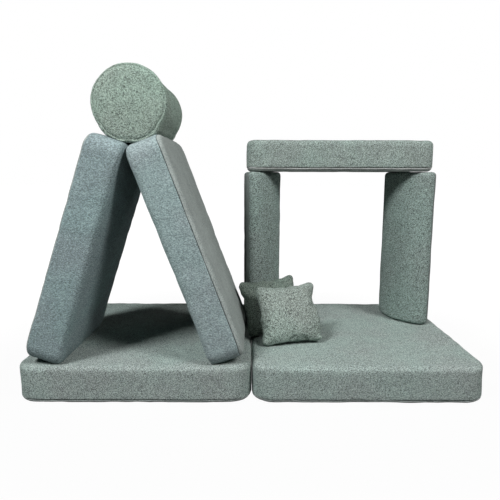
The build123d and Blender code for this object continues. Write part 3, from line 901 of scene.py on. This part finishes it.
# Materials of the frame's own pieces
FINISH = {
    "core": foam_material, "fill": foam_material, "zip": tape_material, "slider": slider_material,
}
for node_name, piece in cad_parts.items():
    kind = node_name.rsplit("_", 1)[1]
    if kind in FINISH:
        for material_slot in piece.material_slots:
            material_slot.material = FINISH[kind]


# Floor, light and camera
FLOOR_TONE, FLOOR_GLOW, FLOOR_SHARE = 0.18, 1.05, 0.92
FLOOR_NEAR, FLOOR_FAR = 1.05, 1.9  # the floor's shadow fades out between these distances
FLOOR_HALF, FLOOR_DROP = 30, 0.0005


def pale_floor():
    """Pale floor that keeps the shadow close to the object, and is white further off."""
    material = bpy.data.materials.new("floor")
    material.use_nodes = True
    tree = material.node_tree
    shader = tree.nodes["Principled BSDF"]
    shader.inputs["Base Color"].default_value = (FLOOR_TONE, FLOOR_TONE, FLOOR_TONE, 1)
    shader.inputs["Roughness"].default_value = 1.0
    shader.inputs["Specular IOR Level"].default_value = 0.0
    glow = node(tree, "ShaderNodeEmission", in_Color=(1, 1, 1, 1), in_Strength=FLOOR_GLOW)
    coords = node(tree, "ShaderNodeTexCoord").outputs["Object"]
    away = node(
        tree, "ShaderNodeVectorMath", {0: coords}, operation="LENGTH"
    ).outputs["Value"]
    share = node(
        tree, "ShaderNodeMapRange", {"Value": away},
        in_1=FLOOR_NEAR, in_2=FLOOR_FAR, in_3=FLOOR_SHARE, in_4=1.0,
    ).outputs[0]
    seen = maths(
        tree, "MULTIPLY", node(tree, "ShaderNodeLightPath").outputs["Is Camera Ray"], share
    )
    mix = node(tree, "ShaderNodeMixShader", {0: seen, 1: shader.outputs[0], 2: glow.outputs[0]})
    tree.links.new(mix.outputs[0], tree.nodes["Material Output"].inputs["Surface"])
    return material


floor_mesh = bpy.data.meshes.new("floor")
floor_mesh.from_pydata(
    [(x * FLOOR_HALF, y * FLOOR_HALF, 0) for x, y in ((-1, -1), (1, -1), (1, 1), (-1, 1))],
    [], [(0, 1, 2, 3)],
)
floor = bpy.data.objects.new("floor", floor_mesh)
floor.location.z = -FLOOR_DROP
bpy.context.scene.collection.objects.link(floor)
floor_mesh.materials.append(pale_floor())

# A dim room that the camera sees as white
world = bpy.data.worlds.new("studio")
world.use_nodes = True
bpy.context.scene.world = world
tree = world.node_tree
background = tree.nodes["Background"]
background.inputs["Color"].default_value = (0.95, 0.98, 1.0, 1)
background.inputs["Strength"].default_value = 0.012
white = node(tree, "ShaderNodeBackground", in_Color=(1, 1, 1, 1), in_Strength=1.0)
path = node(tree, "ShaderNodeLightPath")
mix = node(
    tree, "ShaderNodeMixShader",
    {0: path.outputs["Is Camera Ray"], 1: background.outputs[0], 2: white.outputs[0]},
)
tree.links.new(mix.outputs[0], tree.nodes["World Output"].inputs["Surface"])


def softbox(name, at, towards, size, power, colour=(1, 1, 1)):
    """A square lamp aimed at a point."""
    lamp = bpy.data.lights.new(name, "AREA")
    lamp.shape = "SQUARE"
    lamp.size = size
    lamp.energy = power
    lamp.color = colour
    holder = bpy.data.objects.new(name, lamp)
    holder.location = at
    holder.rotation_euler = (Vector(towards) - Vector(at)).to_track_quat("-Z", "Y").to_euler()
    bpy.context.scene.collection.objects.link(holder)


softbox("key_left", (-1.91, -2.28, 3.37), (0, 0, 0.4), 1.0, 145, (0.98, 0.99, 1.0))
softbox("key_right", (2.40, -2.15, 3.10), (0, 0, 0.4), 1.1, 113)
softbox("back", (3.1, 3.1, 0.95), (0, 0, 0.5), 1.8, 26)

# Camera as fitted to the photograph: place, degrees down and turn about its view
CAMERA_AT, CAMERA_DOWN, CAMERA_TURN = (-0.0069, -1.9538, 0.7985), 9.094, 0.0025
camera = bpy.data.cameras.new("camera")
camera.sensor_fit = "HORIZONTAL"
camera.sensor_width = 36.0
camera.lens = 33.456
viewer = bpy.data.objects.new("camera", camera)
viewer.matrix_world = (
    Matrix.Translation(CAMERA_AT)
    @ Matrix.Rotation(math.radians(90 - CAMERA_DOWN), 4, "X")
    @ Matrix.Rotation(CAMERA_TURN, 4, "Z")
)
bpy.context.scene.collection.objects.link(viewer)
bpy.context.scene.camera = viewer
bpy.context.scene.view_settings.view_transform = "Standard"
